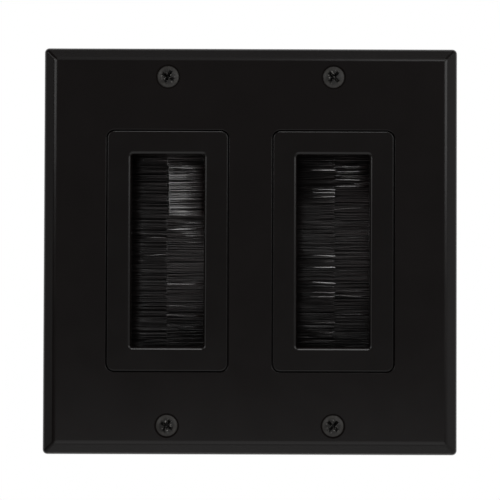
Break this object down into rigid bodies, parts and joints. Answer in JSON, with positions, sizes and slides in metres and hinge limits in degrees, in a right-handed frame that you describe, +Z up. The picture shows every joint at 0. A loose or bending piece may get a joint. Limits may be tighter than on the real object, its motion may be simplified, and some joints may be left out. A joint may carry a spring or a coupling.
{
  "type": "brush wall plate",
  "caption": "Black wall plate with bevelled edges and a brush insert in each opening: rows of bristles close around the cables that pass through the wall.",
  "frame": {"origin": "centre of the plate on the wall plane, where its rear rim meets the wall", "axes": "+Z up, +X to the right as seen from the front, +Y into the wall, so the front faces -Y"},
  "size_m": [0.1154, 0.0168, 0.1134],
  "materials": {
    "plate_plastic": "black moulded thermoplastic, satin",
    "insert_plastic": "black moulded thermoplastic, satin",
    "retainer_plastic": "black moulded thermoplastic, matt",
    "plate_screw_steel": "black painted steel",
    "retainer_screw_steel": "zinc-plated steel",
    "channel_steel": "galvanised sheet steel",
    "wire_steel": "drawn steel wire",
    "bristle_nylon": "black nylon filament"
  },
  "bodies": {
    "root": {"wall_plate": "plate_plastic", "plate_screws": "plate_screw_steel", "left_insert_frame": "insert_plastic", "left_insert_retainer": "retainer_plastic", "left_insert_retainer_screws": "retainer_screw_steel", "left_insert_channel_left": "channel_steel", "left_insert_channel_right": "channel_steel", "left_insert_wire_left": "wire_steel", "left_insert_wire_right": "wire_steel", "left_insert_bristles_left": "bristle_nylon", "left_insert_bristles_right": "bristle_nylon", "right_insert_frame": "insert_plastic", "right_insert_retainer": "retainer_plastic", "right_insert_retainer_screws": "retainer_screw_steel", "right_insert_channel_left": "channel_steel", "right_insert_channel_right": "channel_steel", "right_insert_wire_left": "wire_steel", "right_insert_wire_right": "wire_steel", "right_insert_bristles_left": "bristle_nylon", "right_insert_bristles_right": "bristle_nylon"}
  },
  "joints": []
}
